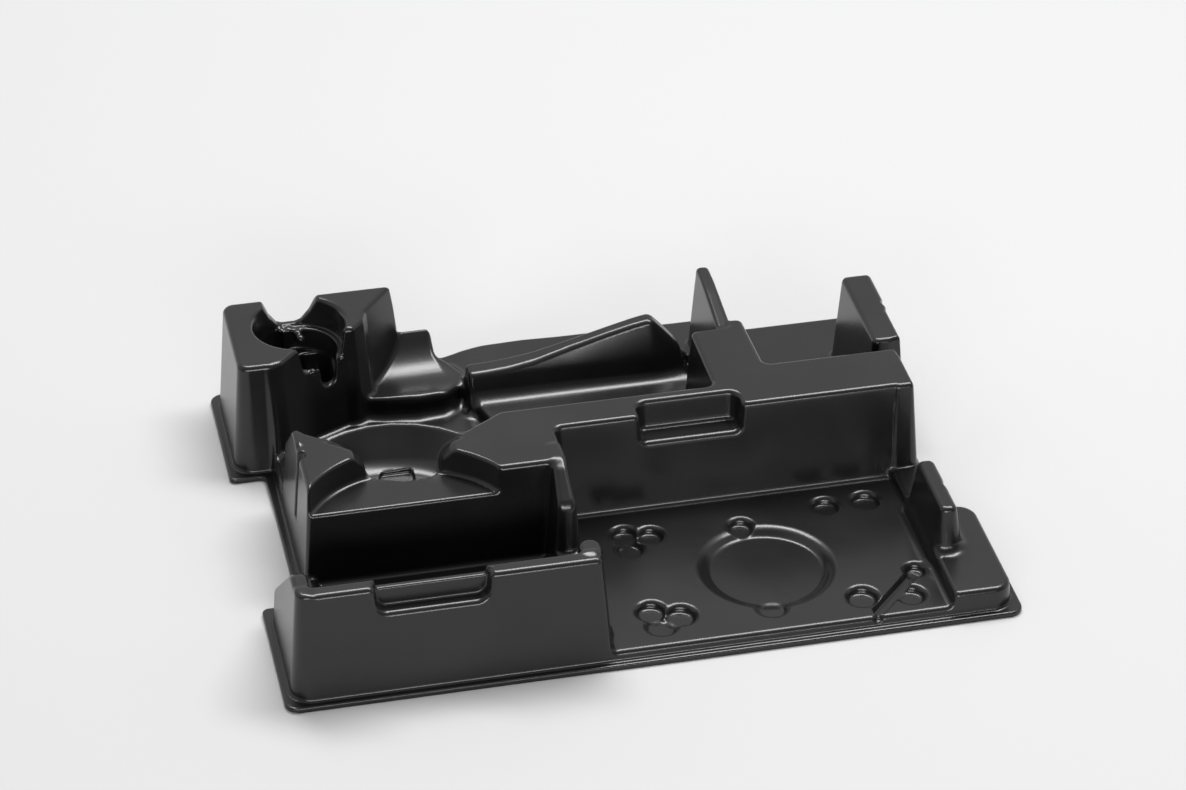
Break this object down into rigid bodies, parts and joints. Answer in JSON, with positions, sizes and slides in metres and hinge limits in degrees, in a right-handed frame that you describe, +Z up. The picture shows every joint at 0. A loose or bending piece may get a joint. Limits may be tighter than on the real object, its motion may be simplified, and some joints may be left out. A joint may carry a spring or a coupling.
{
  "type": "tool case insert",
  "caption": "Formed plastic insert for a tool case: open trays, seats for discs and a round head, a cross bar, a wavy ridge and back posts on a flat rim.",
  "frame": {"origin": "centre of the bottom plane of the rim, the bottom centre of the bounding box", "axes": "+Z up, out of the open trays; +X to the right along the long front edge; +Y from the front edge to the back"},
  "size_m": [0.38, 0.284, 0.068],
  "materials": {
    "sheet": "satin black formed sheet"
  },
  "bodies": {
    "root": {"insert": "sheet"}
  },
  "joints": []
}
